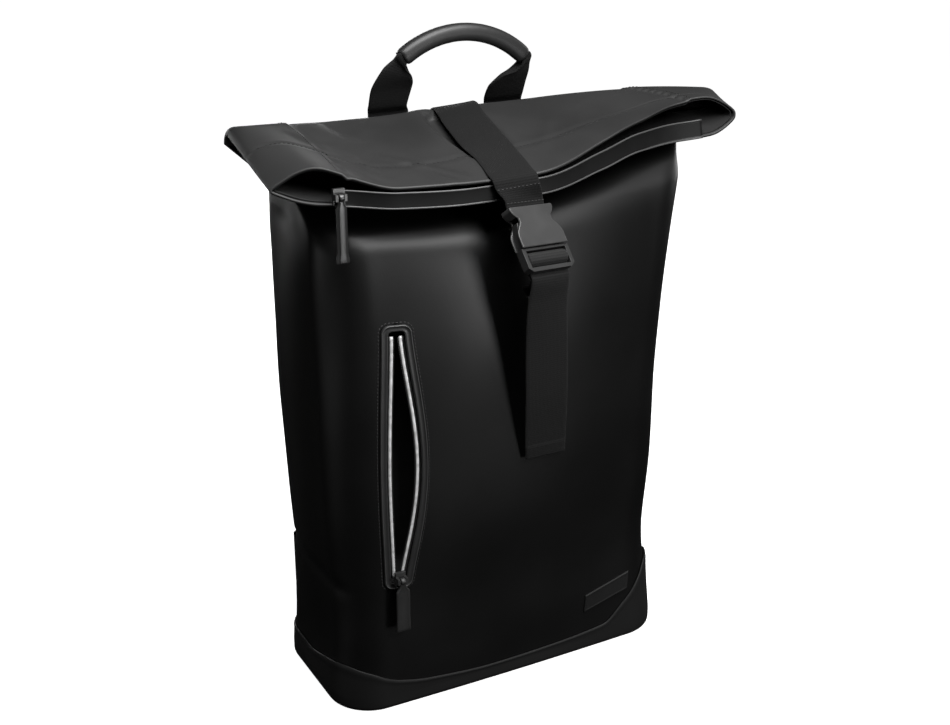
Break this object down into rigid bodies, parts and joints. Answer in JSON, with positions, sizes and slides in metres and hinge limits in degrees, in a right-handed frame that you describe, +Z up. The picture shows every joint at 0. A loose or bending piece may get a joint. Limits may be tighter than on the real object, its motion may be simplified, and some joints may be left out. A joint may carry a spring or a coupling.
{
  "type": "backpack",
  "caption": "Upright rectangular backpack of coated fabric with a folded zipped roll top held by a strap and side-release buckle, a front zip pocket, a top handle and padded shoulder straps.",
  "frame": {"origin": "the middle of the base, on the surface it stands on", "axes": "+Z up, -Y the way the front faces, +X the viewer's right when facing the front"},
  "size_m": [0.4215, 0.252, 0.5399],
  "materials": {
    "body_fabric": "satin coated fabric",
    "base_fabric": "satin coated fabric",
    "webbing": "woven webbing",
    "lining": "matt fabric",
    "zip_tape": "coated zip tape",
    "reflective_zip": "light reflective zip edge",
    "black_plastic": "moulded plastic",
    "zip_metal": "dark grey metal",
    "patch": "matt moulded patch"
  },
  "bodies": {
    "root": {"body_shell": "body_fabric", "roll_flap": "body_fabric", "base_boot": "base_fabric", "mouth_zip_band": "zip_tape", "pocket_welt": "zip_tape", "pocket_tape_left": "reflective_zip", "pocket_tape_right": "reflective_zip", "pocket_pouch": "lining", "mouth_zip_slider": "zip_metal", "mouth_zip_puller": "zip_metal", "pocket_zip_slider": "black_plastic", "pocket_zip_puller": "black_plastic", "closure_strap": "webbing", "front_webbing": "webbing", "buckle_socket": "black_plastic", "buckle_plug": "black_plastic", "handle_grip": "body_fabric", "handle_leg_left": "webbing", "handle_leg_right": "webbing", "back_yoke": "webbing", "shoulder_pad_left": "body_fabric", "shoulder_pad_right": "body_fabric", "strap_adjuster_left": "black_plastic", "strap_adjuster_right": "black_plastic", "shoulder_webbing_left": "webbing", "shoulder_webbing_right": "webbing", "anchor_tab_left": "webbing", "anchor_tab_right": "webbing", "label_patch": "patch"}
  },
  "joints": []
}
